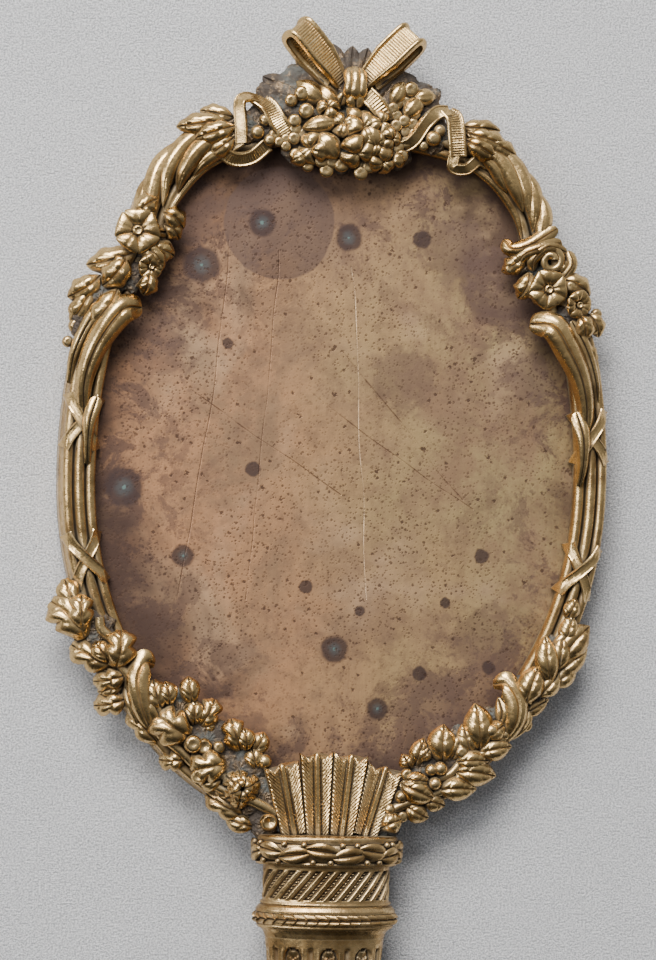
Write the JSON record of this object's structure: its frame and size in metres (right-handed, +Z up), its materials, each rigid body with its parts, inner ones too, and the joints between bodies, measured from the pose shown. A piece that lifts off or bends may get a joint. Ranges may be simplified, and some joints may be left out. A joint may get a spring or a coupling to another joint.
{
  "type": "hand mirror",
  "caption": "Lying hand mirror in gilt bronze: oval reeded rim with leaf garlands, blossoms and a ribbon bow, on a fluted quiver-shaped handle with a bevelled glass beneath.",
  "frame": {"origin": "the middle of the footprint's bounding box, on the face of the bezel that the mirror lies on", "axes": "+Y from the handle's finial up to the bow, +Z up out of the ornamented side, +X to the right when the ornamented side is seen with the handle towards the viewer"},
  "size_m": [0.1338, 0.329, 0.0205],
  "materials": {
    "rim_bronze": "worn gilding with dark grooves",
    "ornament_bronze": "worn gilding with dark hollows",
    "ribbon_bronze": "worn gilding with dark hollows",
    "handle_bronze": "worn gilding with dark grooves",
    "field_copper": "tarnished, scratched and spotted",
    "bezel_bronze": "satin",
    "screw_brass": "satin",
    "silvered_glass": "polished",
    "card": "matte",
    "rod_steel": "plain"
  },
  "bodies": {
    "root": {"rim_frame": "rim_bronze", "back_panel": "field_copper", "backing_card": "card", "looking_glass": "silvered_glass", "glass_bezel": "bezel_bronze", "bezel_screws": "screw_brass", "quiver_mouth": "handle_bronze", "slotted_drum": "handle_bronze", "lower_moulding": "handle_bronze", "fluted_shaft": "handle_bronze", "base_collar": "handle_bronze", "leaf_calyx": "handle_bronze", "finial": "handle_bronze", "tie_rod": "rod_steel", "wreath_band_front": "handle_bronze", "wreath_band_back": "handle_bronze", "rope_ring_front": "handle_bronze", "rope_ring_back": "handle_bronze", "fletching_1": "ornament_bronze", "fletching_2": "ornament_bronze", "fletching_3": "ornament_bronze", "fletching_4": "ornament_bronze", "blossom_cluster": "ornament_bronze", "left_flowers": "ornament_bronze", "right_flowers": "ornament_bronze", "oak_rosette": "ornament_bronze", "left_oak_spray": "ornament_bronze", "left_oak_garland": "ornament_bronze", "right_laurel_spray": "ornament_bronze", "right_laurel_garland": "ornament_bronze", "left_shoulder_leaves": "ornament_bronze", "right_shoulder_leaves": "ornament_bronze", "left_crest_leaves": "ornament_bronze", "right_crest_leaves": "ornament_bronze", "left_arch_sheath": "ornament_bronze", "right_arch_sheath": "ornament_bronze", "left_tongue_leaves": "ornament_bronze", "right_tongue_leaves": "ornament_bronze", "crest_ground": "ornament_bronze", "bow_knot": "ribbon_bronze", "left_bow_loop": "ribbon_bronze", "right_bow_loop": "ribbon_bronze", "left_upper_binding": "ribbon_bronze", "right_upper_binding": "ribbon_bronze", "left_lower_binding": "ribbon_bronze", "right_lower_binding": "ribbon_bronze", "left_strap": "ribbon_bronze", "right_strap": "ribbon_bronze", "left_entwined_ribbon": "ribbon_bronze", "right_entwined_ribbon": "ribbon_bronze"}
  },
  "joints": []
}
